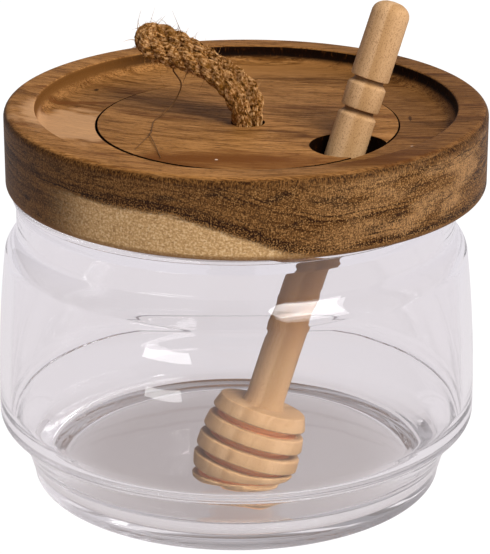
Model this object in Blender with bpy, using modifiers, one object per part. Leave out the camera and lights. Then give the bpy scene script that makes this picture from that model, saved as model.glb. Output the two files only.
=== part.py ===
# Glass honey pot with a wooden lid, a rope-pulled plug in the lid and a turned honey dipper.
# Metres, +Z up. The pot stands on z = 0, its front faces -Y, and the origin is under the
# middle of its bounding box.
import math

import bmesh
import bpy
from mathutils import Vector

MM = 0.001
GAP = 0.3                      # clearance between pieces that rest on or in one another

# jar, heights from the surface that it stands on
JAR_SEGMENTS = 56
BODY_R = 60.8                  # widest, just above the foot
BODY_BASE_Z = 19.4
SHOULDER_R = 58.4
SHOULDER_Z = 59.6
SHOULDER_STEPS = 6
BODY_STEPS = 4
NECK_R = 55.15
NECK_Z = 67.9
COLLAR_Z = 72.6                # the lip's own straight part starts here
LIP_R = 56.1
LIP_TOP_Z = 77.3
LIP_ROUND = 1.9
WALL = 2.8
INNER_DROP = 0.9               # the inside follows the outside's shape this much lower
CORNER_ROUND = 2.6             # the body's lower corner
STEP_Z = 15.8                  # the crease where the body steps in to the foot
CREASE_R = 58.2
CREASE_DROP = 0.2
FOOT_TOP_R = 57.8
FOOT_TOP_DROP = 0.9            # below the crease
FOOT_WAIST_R = 54.3
FOOT_WAIST_Z = 8.2
FOOT_LOW_R = 52.4
FOOT_ROUND = 1.3
CONTACT_R = 47.0               # inner edge of the ring that the jar stands on
PUNT_R = 43.0
PUNT_RISE = 0.6
FLOOR_Z = 3.2
FLOOR_R = 44.0
FLOOR_FILLET = 5.6
INNER_STEP_DROP = 0.3          # the inside's own soft step, below the crease and above it
INNER_STEP_RISE = 2.2
INNER_STEP_IN = 0.9
INNER_BODY_RISE = 2.0

# lid ring
LID_SEGMENTS = 56
LID_R = 60.0
LID_HEIGHT = 20.0
LID_OFFSET = 2.5               # the lid sits this far to the right of the jar's axis
LID_TOP_ROUND = 2.0
LID_LOW_ROUND = 1.5
RIM_INNER_R = 52.3
RIM_INNER_CHAMFER = 0.3
RECESS_DEPTH = 4.4
RECESS_FILLET = 3.2
SPIGOT_R = 49.1                # the boss that finds the jar's mouth
SPIGOT_DEPTH = 4.6
SPIGOT_CHAMFER = 0.8

# plug, its well in the ring and the narrower hole that leaves a ledge under it
HOLE_SEGMENTS = 48
HOLE_R = 37.7
HOLE_SHIFT = (0.1, -2.6)       # from the lid's axis
LEDGE_R = 34.0
PLUG_R = 36.9
PLUG_THICK = 9.0
PLUG_SHIFT = (0.45, -2.35)     # from the lid's axis: pushed to one side of its hole
PLUG_CHAMFER = 0.4
NOTCH_R = 9.5
NOTCH_SHIFT = (24.65, -20.9)   # from the lid's axis: it breaks out through the plug's edge
NOTCH_SEGMENTS = 28
CORD_HOLE_R = 4.8
CORD_HOLE_SEGMENTS = 16

# rope loop
ROPE_R = 2.65
ROPE_END_R = 2.15              # squeezed where both strands share one hole
ROPE_FULL_Z = 7.0              # height above the plug from where it has its full width
ROPE_LOBES = 3
ROPE_LOBE_DEPTH = 0.14
ROPE_SECTION_POINTS = 12
ROPE_PITCH = 13.0              # length of one full twist
ROPE_STEPS = 3                 # points of the path between two route points
KNOT_R = 6.6
KNOT_HEIGHT = 8.0
KNOT_SEGMENTS = 16
KNOT_RINGS = 10
# route of the loop from the middle of its hole, at the plug's top: up, over to the left, back
ROPE_ROUTE = [
    (-1.35, -1.8, -14.5), (-1.35, -1.8, -9.0), (-1.35, -1.8, -4.0), (-1.45, -1.9, 0.0),
    (-2.1, -2.1, 4.1), (-3.65, -1.25, 7.9), (-6.85, 0.35, 11.0), (-11.05, 2.35, 13.5),
    (-15.45, 3.85, 14.8), (-19.75, 5.35, 15.7), (-23.45, 6.55, 16.9), (-25.3, 8.5, 18.2),
    (-25.1, 10.9, 19.2), (-23.15, 12.5, 19.4), (-19.85, 12.05, 18.4), (-16.35, 10.85, 17.0),
    (-12.85, 9.35, 15.3), (-8.85, 7.85, 13.2), (-4.95, 6.55, 11.0), (-1.15, 4.95, 8.3),
    (1.05, 3.55, 5.4), (1.6, 2.5, 2.3), (1.45, 1.9, 0.0), (1.35, 1.8, -4.0),
    (1.35, 1.8, -9.0), (1.35, 1.8, -14.5),
]

# dipper, lengths along its axis from the point where it passes the recess floor
DIPPER_SEGMENTS = 28
DIPPER_AT = (25.0, -16.5)      # that point, from the lid's axis
DIPPER_LEAN = (0.325, 0.19)    # sideways and backward for each unit of height
TIP_S = 34.9
TIP_DOME = 2.9
TIP_CURVE = [(2.0, 0.25), (3.5, 1.0), (4.3, 1.9)]      # radius, and how far below the tip
SHAFT_TOP_R = 4.65
SHAFT_R = 4.75
COLLAR_TOP_S = 13.8
COLLAR_LOW_S = 7.95
GROOVE_WIDTH = 1.85
GROOVE_DEPTH = 1.15
GROOVE_TOP_SLOPE = 0.15
GROOVE_FLAT = 0.8              # the groove's bottom ends this far below its top
HEAD_TOP_S = -68.5
HEAD_WIDE_S = -81.8
HEAD_WIDE_R = 12.75
HEAD_TOP_R = 10.8
HEAD_END_R = 11.5
HEAD_END_S = -92.9
HEAD_END_CURVE = [(0.6, 1.9), (2.3, 0.4), (4.5, 0.0)]  # how far in, and how far above the end
HEAD_RINGS = 5
RING_PITCH = 5.21
RING_THICK = 3.5
RING_CHAMFER = 0.35
CORE_R = 6.4
HEAD_NECK_R = 5.3
HEAD_NECK_RISE = 2.0

LID_TOP_Z = LIP_TOP_Z + GAP + LID_HEIGHT
RECESS_Z = LID_TOP_Z - RECESS_DEPTH
# the jar reaches furthest left and the lid furthest right: both ends stay equally far out
JAR_X = (BODY_R - LID_OFFSET - LID_R) / 2
LID_X = JAR_X + LID_OFFSET


def arc(centre_r, centre_z, radius, start, end, points):
    """Points of a profile along an arc, angles in degrees from +r towards +z."""
    step = (end - start) / (points - 1)
    angles = [math.radians(start + step * i) for i in range(points)]
    return [(centre_r + radius * math.cos(a), centre_z + radius * math.sin(a)) for a in angles]


def smooth(t):
    return t * t * (3 - 2 * t)


def finish(name, colour, roughness, obj, alpha=1.0):
    """Gives a sub-part its own material."""
    material = bpy.data.materials.new(name)
    material.use_nodes = True
    shader = material.node_tree.nodes["Principled BSDF"]
    shader.inputs["Base Color"].default_value = (*colour, 1.0)
    shader.inputs["Roughness"].default_value = roughness
    shader.inputs["Metallic"].default_value = 0.0
    shader.inputs["Alpha"].default_value = alpha
    obj.data.materials.clear()
    obj.data.materials.append(material)


def place(obj, collection, parent=None):
    for old in obj.users_collection:
        old.objects.unlink(obj)
    collection.objects.link(obj)
    if parent:
        obj.parent = parent


def turned(name, profile, segments, closed=False):
    """A profile of (radius, height) points turned about Z. It runs down the outer side."""
    mesh = bpy.data.meshes.new(name)
    points = [(r * MM, 0.0, z * MM) for r, z in profile]
    edges = [(i, i + 1) for i in range(len(points) - 1)]
    if closed:
        edges.append((len(points) - 1, 0))
    mesh.from_pydata(points, edges, [])
    obj = bpy.data.objects.new(name, mesh)
    screw = obj.modifiers.new("turn", "SCREW")
    screw.steps = segments
    screw.render_steps = segments
    screw.use_merge_vertices = True
    screw.merge_threshold = 0.00005
    screw.use_smooth_shade = True
    return obj


def cut(obj, cutter):
    """Cuts a cutter's shape out of an object."""
    boolean = obj.modifiers.new("cut", "BOOLEAN")
    boolean.operation = "DIFFERENCE"
    boolean.solver = "EXACT"
    boolean.object = cutter
    cutter.hide_render = True
    cutter.display_type = "WIRE"


def body_radius(z):
    """Outer radius of the jar's body, its shoulder and its neck at a height, one smooth line."""
    t = (z - BODY_BASE_Z) / (SHOULDER_Z - BODY_BASE_Z)
    body = BODY_R - (BODY_R - SHOULDER_R) * t * t
    rise = min(1.0, max(0.0, (z - SHOULDER_Z) / (NECK_Z - SHOULDER_Z)))
    blend = rise ** 3 * (10 - 15 * rise + 6 * rise * rise)
    return body + (NECK_R - body) * blend


def jar_profile():
    """Down the outside from the lip, across the underside, and up the inside."""
    inner_lip_r = LIP_R - 2 * LIP_ROUND
    lip_z = LIP_TOP_Z - LIP_ROUND
    shoulder = (NECK_Z - SHOULDER_Z) / SHOULDER_STEPS
    body = (SHOULDER_Z - BODY_BASE_Z) / (BODY_STEPS + 1)
    heights = [NECK_Z - shoulder * i for i in range(SHOULDER_STEPS + 1)]
    heights += [SHOULDER_Z - body * i for i in range(1, BODY_STEPS + 1)]
    outside = arc(LIP_R - LIP_ROUND, lip_z, LIP_ROUND, 90, 0, 5)
    outside += [((LIP_R + NECK_R) / 2, (COLLAR_Z + NECK_Z) / 2)]
    outside += [(body_radius(z), z) for z in heights]
    outside += arc(BODY_R - CORNER_ROUND, STEP_Z + CORNER_ROUND, CORNER_ROUND, 0, -78, 5)
    outside += [(CREASE_R, STEP_Z - CREASE_DROP), (FOOT_TOP_R, STEP_Z - FOOT_TOP_DROP)]
    outside += [(FOOT_WAIST_R, FOOT_WAIST_Z)]
    outside += arc(FOOT_LOW_R - FOOT_ROUND, FOOT_ROUND, FOOT_ROUND, 0, -90, 4)
    outside += [(CONTACT_R, 0.0), (PUNT_R, PUNT_RISE), (0.0, PUNT_RISE)]
    inside = [(0.0, FLOOR_Z)]
    inside += arc(FLOOR_R, FLOOR_Z + FLOOR_FILLET, FLOOR_FILLET, -90, -25, 5)
    inside += [(FOOT_WAIST_R - WALL, FOOT_WAIST_Z + INNER_DROP)]
    inside += [(FOOT_TOP_R - WALL, STEP_Z - INNER_STEP_DROP)]
    inside += [(BODY_R - WALL - INNER_STEP_IN, STEP_Z + INNER_STEP_RISE)]
    inside += [(BODY_R - WALL, BODY_BASE_Z + INNER_BODY_RISE)]
    inside += [(body_radius(z + INNER_DROP) - WALL, z) for z in reversed(heights)]
    inside += [(inner_lip_r, COLLAR_Z)]
    inside += arc(LIP_R - LIP_ROUND, lip_z, LIP_ROUND, 180, 112, 4)
    return outside + inside


def make_jar(collection):
    jar = turned("glass_jar", jar_profile(), JAR_SEGMENTS, closed=True)
    jar.location.x = JAR_X * MM
    place(jar, collection)
    finish("clear glass", (0.92, 0.92, 0.94), 0.03, jar, alpha=0.3)
    return jar


def lid_profile():
    """The lid as a solid disc, from the middle of its recess over the rim to its underside."""
    low = -LID_HEIGHT
    wall_z = -RECESS_DEPTH + RECESS_FILLET
    points = [(0.0, -RECESS_DEPTH)]
    points += arc(RIM_INNER_R - RECESS_FILLET, wall_z, RECESS_FILLET, -90, 0, 5)
    points += [(RIM_INNER_R, -RIM_INNER_CHAMFER), (RIM_INNER_R + RIM_INNER_CHAMFER, 0.0)]
    points += arc(LID_R - LID_TOP_ROUND, -LID_TOP_ROUND, LID_TOP_ROUND, 90, 0, 5)
    points += arc(LID_R - LID_LOW_ROUND, low + LID_LOW_ROUND, LID_LOW_ROUND, 0, -90, 4)
    points += [(SPIGOT_R, low), (SPIGOT_R, low - SPIGOT_DEPTH + SPIGOT_CHAMFER)]
    points += [(SPIGOT_R - SPIGOT_CHAMFER, low - SPIGOT_DEPTH), (0.0, low - SPIGOT_DEPTH)]
    return points


def hole_profile():
    """The stepped hole: a well for the plug, and a narrower hole on through the ring."""
    seat = -RECESS_DEPTH - PLUG_THICK - GAP
    above = PLUG_THICK
    below = -LID_HEIGHT - SPIGOT_DEPTH - PLUG_THICK
    return [
        (0.0, above), (HOLE_R, above), (HOLE_R, seat), (LEDGE_R, seat), (LEDGE_R, below), (0.0, below),
    ]


def make_lid_ring(collection, cutters, lid):
    ring = turned("lid_ring", lid_profile(), LID_SEGMENTS)
    place(ring, collection, lid)
    hole = turned("plug hole", hole_profile(), HOLE_SEGMENTS)
    hole.location = (HOLE_SHIFT[0] * MM, HOLE_SHIFT[1] * MM, 0.0)
    place(hole, cutters, lid)
    cut(ring, hole)
    finish("oiled wood", (0.30, 0.155, 0.07), 0.5, ring)
    return ring


def add_cylinder(name, radius, depth, segments, at):
    bpy.ops.mesh.primitive_cylinder_add(
        vertices=segments, radius=radius * MM, depth=depth * MM, location=[v * MM for v in at])
    obj = bpy.context.object
    obj.name = name
    return obj


def make_lid_plug(collection, cutters, lid):
    low = -PLUG_THICK
    profile = [
        (0.0, 0.0), (PLUG_R - PLUG_CHAMFER, 0.0), (PLUG_R, -PLUG_CHAMFER),
        (PLUG_R, low + PLUG_CHAMFER), (PLUG_R - PLUG_CHAMFER, low), (0.0, low),
    ]
    plug = turned("lid_plug", profile, HOLE_SEGMENTS)
    plug.location = (PLUG_SHIFT[0] * MM, PLUG_SHIFT[1] * MM, -RECESS_DEPTH * MM)
    place(plug, collection, lid)
    middle = -RECESS_DEPTH - PLUG_THICK / 2
    tall = PLUG_THICK * 2
    for name, radius, segments, shift in (
            ("dipper notch", NOTCH_R, NOTCH_SEGMENTS, NOTCH_SHIFT),
            ("cord hole", CORD_HOLE_R, CORD_HOLE_SEGMENTS, PLUG_SHIFT)):
        cutter = add_cylinder(name, radius, tall, segments, (shift[0], shift[1], middle))
        place(cutter, cutters, lid)
        cut(plug, cutter)
    finish("oiled wood plug", (0.33, 0.18, 0.085), 0.5, plug)
    return plug


def smooth_route(route, steps):
    """Points on a smooth curve through the route's own points."""
    points = [Vector(p) for p in route]
    points = [2 * points[0] - points[1]] + points + [2 * points[-1] - points[-2]]
    path = []
    for a, b, c, d in zip(points, points[1:], points[2:], points[3:]):
        for k in range(steps):
            t = k / steps
            path.append(0.5 * (2 * b + (c - a) * t + (2 * a - 5 * b + 4 * c - d) * t * t
                               + (3 * b - a - 3 * c + d) * t ** 3))
    path.append(points[-2])
    return path


def rope_section():
    """One turn of the rope's outline: strands side by side as shallow lobes."""
    curve = bpy.data.curves.new("rope section", "CURVE")
    curve.dimensions = "2D"
    spline = curve.splines.new("POLY")
    spline.points.add(ROPE_SECTION_POINTS - 1)
    for i, point in enumerate(spline.points):
        angle = 2 * math.pi * i / ROPE_SECTION_POINTS
        radius = ROPE_R * MM * (1 - ROPE_LOBE_DEPTH * (1 - math.cos(ROPE_LOBES * angle)) / 2)
        point.co = (radius * math.cos(angle), radius * math.sin(angle), 0.0, 1.0)
    spline.use_cyclic_u = True
    obj = bpy.data.objects.new("rope section", curve)
    obj.hide_render = True
    obj.display_type = "WIRE"
    return obj


def make_rope(collection, cutters, lid):
    section = rope_section()
    place(section, cutters)
    path = smooth_route(ROPE_ROUTE, ROPE_STEPS)
    curve = bpy.data.curves.new("rope path", "CURVE")
    curve.dimensions = "3D"
    curve.bevel_mode = "OBJECT"
    curve.bevel_object = section
    curve.use_fill_caps = True
    spline = curve.splines.new("POLY")
    spline.points.add(len(path) - 1)
    along = 0.0
    for i, point in enumerate(spline.points):
        if i:
            along += (path[i] - path[i - 1]).length
        squeeze = smooth(min(1.0, max(0.0, path[i].z / ROPE_FULL_Z)))
        point.co = (*(path[i] * MM), 1.0)
        point.radius = (ROPE_END_R + (ROPE_R - ROPE_END_R) * squeeze) / ROPE_R
        point.tilt = 2 * math.pi * along / ROPE_PITCH
    tube = bpy.data.objects.new("rope path", curve)
    tube.location = (PLUG_SHIFT[0] * MM, PLUG_SHIFT[1] * MM, -RECESS_DEPTH * MM)
    place(tube, cutters, lid)
    bpy.context.view_layer.update()
    evaluated = tube.evaluated_get(bpy.context.evaluated_depsgraph_get())
    mesh = bpy.data.meshes.new_from_object(evaluated)
    mesh.name = "rope_handle"
    weld(mesh)
    rope = bpy.data.objects.new("rope_handle", mesh)
    rope.matrix_world = tube.matrix_world
    bpy.data.objects.remove(tube)
    bpy.data.objects.remove(section)
    place(rope, collection)
    knot_z = -PLUG_THICK - GAP - KNOT_HEIGHT / 2
    bpy.ops.mesh.primitive_uv_sphere_add(
        segments=KNOT_SEGMENTS, ring_count=KNOT_RINGS, radius=KNOT_R * MM)
    knot = bpy.context.object
    knot.name = "rope knot"
    knot.scale.z = KNOT_HEIGHT / 2 / KNOT_R
    knot.location = rope.matrix_world.translation + Vector((0.0, 0.0, knot_z * MM))
    place(knot, cutters)
    join = rope.modifiers.new("knot", "BOOLEAN")
    join.operation = "UNION"
    join.solver = "EXACT"
    join.object = knot
    knot.hide_render = True
    knot.display_type = "WIRE"
    finish("jute rope", (0.50, 0.29, 0.12), 0.95, rope)
    return rope


def weld(mesh):
    """Joins a curve's loose caps to its tube."""
    bm = bmesh.new()
    bm.from_mesh(mesh)
    bmesh.ops.remove_doubles(bm, verts=bm.verts, dist=0.00001)
    bmesh.ops.recalc_face_normals(bm, faces=bm.faces)
    bm.to_mesh(mesh)
    bm.free()


def head_radius(s):
    """The barrel outline of the dipper's head at a place along its axis."""
    if s > HEAD_WIDE_S:
        t = (s - HEAD_WIDE_S) / (HEAD_TOP_S - HEAD_WIDE_S)
        return HEAD_WIDE_R - (HEAD_WIDE_R - HEAD_TOP_R) * t * t
    last_top = HEAD_TOP_S - (HEAD_RINGS - 1) * RING_PITCH
    t = (s - HEAD_WIDE_S) / (last_top - HEAD_WIDE_S)
    return HEAD_WIDE_R - (HEAD_WIDE_R - HEAD_END_R) * t * t


def shaft_groove(top):
    """A groove with a square upper side and a sloping lower side."""
    deep = SHAFT_R - GROOVE_DEPTH
    return [
        (SHAFT_R, top), (deep, top - GROOVE_TOP_SLOPE), (deep, top - GROOVE_FLAT),
        (SHAFT_R, top - GROOVE_WIDTH),
    ]


def dipper_profile():
    """From the domed tip down the shaft and its collar to the ringed head."""
    points = [(0.0, TIP_S)] + [(radius, TIP_S - drop) for radius, drop in TIP_CURVE]
    points += [(SHAFT_TOP_R, TIP_S - TIP_DOME)]
    points += shaft_groove(COLLAR_TOP_S + GROOVE_WIDTH)
    points += shaft_groove(COLLAR_LOW_S)
    points += [(SHAFT_R, HEAD_TOP_S + HEAD_NECK_RISE), (HEAD_NECK_R, HEAD_TOP_S)]
    for ring in range(HEAD_RINGS):
        top = HEAD_TOP_S - ring * RING_PITCH
        low = top - RING_THICK
        if ring:
            points.append((CORE_R, top))
        points.append((head_radius(top) - RING_CHAMFER, top))
        points.append((head_radius(top), top - RING_CHAMFER))
        if ring < HEAD_RINGS - 1:
            points.append((head_radius(low), low + RING_CHAMFER))
            points.append((head_radius(low) - RING_CHAMFER, low))
            points.append((CORE_R, low))
    points += [(HEAD_END_R - inward, HEAD_END_S + rise) for inward, rise in HEAD_END_CURVE]
    points += [(0.0, HEAD_END_S)]
    return points


def make_dipper(collection, lid):
    dipper = turned("honey_dipper", dipper_profile(), DIPPER_SEGMENTS)
    dipper.location = (DIPPER_AT[0] * MM, DIPPER_AT[1] * MM, -RECESS_DEPTH * MM)
    dipper.rotation_mode = "QUATERNION"
    dipper.rotation_quaternion = Vector((*DIPPER_LEAN, 1.0)).to_track_quat("Z", "Y")
    place(dipper, collection, lid)
    finish("pale beech", (0.72, 0.47, 0.25), 0.55, dipper)
    return dipper


def main():
    for obj in list(bpy.data.objects):
        bpy.data.objects.remove(obj)
    collection = bpy.data.collections.new("glass honey pot")
    cutters = bpy.data.collections.new("cutters")
    bpy.context.scene.collection.children.link(collection)
    bpy.context.scene.collection.children.link(cutters)
    lid = bpy.data.objects.new("lid", None)
    lid.location = (LID_X * MM, 0.0, LID_TOP_Z * MM)
    collection.objects.link(lid)
    bpy.context.view_layer.update()
    make_jar(collection)
    make_lid_ring(collection, cutters, lid)
    make_lid_plug(collection, cutters, lid)
    make_rope(collection, cutters, lid)
    make_dipper(collection, lid)


main()
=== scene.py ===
# Looks of a glass honey pot with a wooden lid, a rope-pulled plug and a turned honey dipper.
# The frame is in metres. Sizes below are in millimetres, +Z is up and the front faces -Y.
import math
import random

import bpy
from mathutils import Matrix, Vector


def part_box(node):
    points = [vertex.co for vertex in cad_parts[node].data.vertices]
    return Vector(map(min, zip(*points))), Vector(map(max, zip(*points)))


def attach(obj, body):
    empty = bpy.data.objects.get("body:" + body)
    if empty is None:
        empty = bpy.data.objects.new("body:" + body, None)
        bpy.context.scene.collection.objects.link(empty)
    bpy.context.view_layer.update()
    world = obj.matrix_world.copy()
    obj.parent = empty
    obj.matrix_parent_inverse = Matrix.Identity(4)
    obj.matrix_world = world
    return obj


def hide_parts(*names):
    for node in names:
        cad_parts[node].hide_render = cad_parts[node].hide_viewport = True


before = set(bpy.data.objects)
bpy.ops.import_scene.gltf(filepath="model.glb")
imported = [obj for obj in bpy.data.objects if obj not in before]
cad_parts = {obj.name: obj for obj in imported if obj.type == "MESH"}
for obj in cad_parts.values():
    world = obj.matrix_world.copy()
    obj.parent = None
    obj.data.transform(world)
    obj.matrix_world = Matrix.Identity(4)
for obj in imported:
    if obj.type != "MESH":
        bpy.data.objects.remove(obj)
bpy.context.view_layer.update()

MM = 0.001
chance = random.Random(7)


def span(node):
    """The lowest and highest corners of a solid of the frame, in millimetres."""
    low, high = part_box(node)
    return low / MM, high / MM


# What the frame gives
JAR_LOW, JAR_HIGH = span("glass_jar")
RING_LOW, RING_HIGH = span("lid_ring")
PLUG_LOW, PLUG_HIGH = span("lid_plug")
JAR_X = (JAR_LOW.x + JAR_HIGH.x) / 2
BODY_R = (JAR_HIGH.x - JAR_LOW.x) / 2
LIP_TOP_Z = JAR_HIGH.z
LID_X = (RING_LOW.x + RING_HIGH.x) / 2
LID_R = (RING_HIGH.x - RING_LOW.x) / 2
LID_TOP_Z = RING_HIGH.z
SPIGOT_SHORT = 2.0             # the boss under the lid ends above what shows through the neck
SPIGOT_LOW_Z = RING_LOW.z + SPIGOT_SHORT
RECESS_Z = PLUG_HIGH.z
PLUG_LOW_Z = PLUG_LOW.z
PLUG_R = (PLUG_HIGH.x - PLUG_LOW.x) / 2
PLUG_AT = Vector(((PLUG_LOW.x + PLUG_HIGH.x) / 2, (PLUG_LOW.y + PLUG_HIGH.y) / 2, RECESS_Z))

# Jar
ROUND_SEGMENTS = 192
BODY_BASE_Z = 19.4
SHOULDER_R = 58.4
SHOULDER_Z = 59.6
NECK_R = 55.15
NECK_Z = 67.9
COLLAR_Z = 72.8                # where the neck starts to flare to its lip
LIP_R = 56.1
LIP_ROUND = 1.87
WALL = 2.8
INNER_DROP = 0.9               # the inside follows the outside's shape this much lower
CORNER_ROUND = 2.6
STEP_Z = 15.8
FOOT_TOP_R = 57.8
FOOT_WAIST_R = 54.3
FOOT_WAIST_Z = 8.2
FOOT_LOW_R = 52.4
FOOT_ROUND = 1.3
CONTACT_R = 47.0
PUNT_R = 43.0
PUNT_RISE = 0.6
FLOOR_Z = 3.2
FLOOR_R = 44.0
FLOOR_FILLET = 5.6
SHOULDER_STEPS = 26
BODY_STEPS = 20

# Lid ring and plug
GAP = 0.3
LID_LOW_Z = LIP_TOP_Z + GAP
LID_TOP_ROUND = 2.0
LID_LOW_ROUND = 1.5
RIM_INNER_R = 52.3
RIM_INNER_ROUND = 0.6
RECESS_FILLET = 3.2
SPIGOT_R = 49.1
SPIGOT_CHAMFER = 0.8
HOLE_R = 37.7
HOLE_AT = (LID_X + 0.33, -2.77)
SEAT_Z = PLUG_LOW_Z - GAP
LEDGE_R = 34.0
EDGE_BREAK = 0.06              # how far a sawn edge is rubbed back
SAWN_ANGLE = 28                # sharper edges than this stay crisp
CUT_PAST = 5.0                 # how far a cutter goes past the faces that it cuts
NOTCH_R = 9.5
NOTCH_AT = (LID_X + 24.65, -20.9)
PLUG_SNUG = 0.32               # how much wider the plug is than its plain solid
CORD_HOLE_R = 4.2

# Dipper, lengths along its axis from where it passes the recess floor
DIPPER_SEGMENTS = 96
DIPPER_AT = Vector((LID_X + 25.0, -16.5, RECESS_Z))
DIPPER_LEAN = Vector((0.325, 0.19, 1.0))
TIP_S = 34.9
TIP_DOME = 2.9
SHAFT_TOP_R = 4.65
SHAFT_R = 4.75
COLLAR_TOP_S = 13.8
COLLAR_LOW_S = 7.95
GROOVE_WIDTH = 1.85
GROOVE_DEPTH = 1.15
HEAD_TOP_S = -68.5
HEAD_WIDE_S = -81.8
HEAD_WIDE_R = 12.75
HEAD_TOP_R = 10.8
HEAD_END_R = 11.5
HEAD_END_S = -92.9
HEAD_RINGS = 5
RING_PITCH = 5.21
RING_THICK = 3.5
RING_ROUND = 0.45
CORE_R = 8.4
HEAD_NECK_R = 5.3
TURNED_ANGLE = 40

# Rope, its route from the middle of its hole at the plug's top
ROPE_ROUTE = [
    (-1.35, -1.8, -14.5), (-1.35, -1.8, -9.0), (-1.35, -1.8, -4.0), (-1.45, -1.9, 0.0),
    (-2.1, -2.1, 4.1), (-3.65, -1.25, 7.9), (-6.85, 0.35, 11.0), (-11.05, 2.35, 13.5),
    (-15.45, 3.85, 14.8), (-19.75, 5.35, 15.7), (-23.45, 6.55, 16.9), (-25.3, 8.5, 18.2),
    (-25.1, 10.9, 19.2), (-23.15, 12.5, 19.4), (-19.85, 12.05, 18.4), (-16.35, 10.85, 17.0),
    (-12.85, 9.35, 15.3), (-8.85, 7.85, 13.2), (-4.95, 6.55, 11.0), (-1.15, 4.95, 8.3),
    (1.05, 3.55, 5.4), (1.6, 2.5, 2.3), (1.45, 1.9, 0.0), (1.35, 1.8, -4.0),
    (1.35, 1.8, -9.0), (1.35, 1.8, -14.5),
]
ROPE_R = 2.65
ROPE_END_R = 2.15
SQUEEZE_HEIGHT = 7.0           # above the plug's top, where the rope has its full width
ROPE_STRANDS = 3
ROPE_PITCH = 12.5
ROPE_STEPS = 6                 # between two points of the route
STRAND_R = 1.3
YARNS = 20
YARN_R = 0.2
YARN_PITCH = 9.5
FINE_FIBRES = 1000
STRAY_HAIRS = 560
HAIR_R = 0.085
HAIR_STEPS = 7
LOOSE_STEPS = 6
LOOSE_FIBRES = [               # from the middle of the plug's top
    ([(-17.5, 4.6, 13.5), (-18.5, 4.9, 12.0), (-16.6, 5.4, 8.5), (-17.4, 6.7, 5.0), (-19.4, 6.3, 2.0),
      (-23.0, 0.9, 0.35), (-23.5, -5.7, 0.3), (-23.8, -10.6, 0.3), (-26.4, -20.1, 0.25),
      (-26.9, -22.6, 0.4)], 0.21),
    ([(-23.7, -9.6, 0.3), (-23.9, -11.4, 0.5), (-22.6, -18.0, 0.5), (-21.4, -24.8, 0.25),
      (-20.6, -29.4, 0.3)], 0.16),
    ([(-14.6, 1.4, 13.0), (-15.0, 2.2, 12.0), (-15.7, 3.6, 10.2), (-16.1, 4.6, 8.6)], 0.1),
]
KNOT_TURN_R = 3.9
KNOT_TOP_Z = -12.6             # from the plug's top
KNOT_FALL = 3.0
KNOT_TURNS = 1.7
KNOT_STEPS = 12                # in one turn

# Camera and stage, places in metres
CAMERA_AT = (0.00138, -0.59916, 0.27893)
CAMERA_DOWN = 20.8             # degrees below level
LENS = 163.85
SENSOR_WIDTH = 36.0
CLIP_START = 0.01
BOUNCES = 32
STAGE_WIDTH = 8.0
FLOOR_DROP = 0.0002
SHEET_DROP = 0.0001
LAMPS = [                      # where, width and height, power in watts, the rays that miss it
    ("key", (0.46, -0.537, 0.787), (0.5, 0.42), 10.0, "glossy"),
    ("window", (0.55, -0.64, 0.63), (0.54, 0.34), 2.5, "diffuse"),
]
LAMPS_FACE = (0.0, 0.0, 0.08)
CARDS = [                      # how far off, how many degrees to the left of the front, width, depth
    ("far card", 0.6, 38.0, 0.24, 0.22), ("middle card", 0.25, 31.0, 0.11, 0.04),
    ("near card", 0.153, 32.0, 0.055, 0.018),
]
CARDS_AT = Vector((-0.023, -0.055, 0.0004))
CARD_GLOW = 7.0
LEFT_DIM = 0.32                # how much of its light the studio keeps at the far left
DIM_FROM = -0.8
DIM_TO = 0.5
HORIZON_UP_TO = 0.4            # heights in the studio, from 0 at its middle to 1 overhead
OVERHEAD_FROM = 0.9
JAR_SHADOW_SPAN = (32.0, 64.0)       # the table's painted shadow under the jar lightens from here to here, in millimetres from the jar's axis
FAR_TABLE = (110.0, 300.0)

# Tones, as linear red, green and blue
FLOOR_PAINTED_SHADOW = (0.4, 0.35, 0.342)
FLOOR_NEAR = (0.76, 0.725, 0.75)
FLOOR_FAR = (0.74, 0.715, 0.76)
HORIZON = (0.68, 0.65, 0.69)
OVERHEAD = (0.48, 0.46, 0.47)
BLACK = (0.0, 0.0, 0.0)
WHITE = (1.0, 1.0, 1.0)
GLASS_TINT = (0.975, 0.965, 0.97)
WOOD_CHIP = (0.7, 0.55, 0.42)
WOOD_PALE = (0.62, 0.35, 0.17)
# the tone of the painted shade over the right of the lid's top
WOOD_PAINTED_SHADE = (0.42, 0.38, 0.34)
WOOD_DARK = (0.1, 0.034, 0.005)
WOOD_MID = (0.235, 0.096, 0.021)
WOOD_LIGHT = (0.41, 0.187, 0.054)
WOOD_BRIGHT = (0.5, 0.25, 0.085)
WOOD_RED = (0.15, 0.048, 0.008)
WOOD_PORE = (0.035, 0.01, 0.002)
SIDE_DARK = (0.012, 0.0032, 0.0006)
# the darkest tone of the recess walls, partly painted shade
WALL_DARK = (0.006, 0.002, 0.0005)
SIDE_BROWN = (0.068, 0.024, 0.0035)
SIDE_MID = (0.18, 0.08, 0.021)
SIDE_GOLD = (0.46, 0.25, 0.09)
SIDE_PALE = (0.36, 0.19, 0.075)
SAPWOOD = (0.53, 0.325, 0.14)
SAPWOOD_FLECK = (0.2, 0.1, 0.032)
SAPWOOD_CHIP = (0.72, 0.52, 0.3)
BEECH_DARK = (0.44, 0.245, 0.1)
BEECH_MID = (0.54, 0.32, 0.15)
BEECH_LIGHT = (0.64, 0.4, 0.21)
BEECH_PAINTED_LID_SHADE = (0.72, 0.72, 0.7)
BEECH_PAINTED_AMBER_SHADE = (0.78, 0.62, 0.44)
BEECH_FLECK = (0.25, 0.12, 0.045)
BEECH_BURN = (0.13, 0.055, 0.015)
BEECH_GROOVE_PAINTED_LIGHT = (0.9, 0.48, 0.21)
JUTE_DARK = (0.03, 0.01, 0.0015)
JUTE_MID = (0.28, 0.115, 0.022)
JUTE_LIGHT = (0.68, 0.4, 0.18)
FIBRE_DARK = (0.15, 0.065, 0.016)
JUTE_GOLD = (0.22, 0.088, 0.01)

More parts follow.
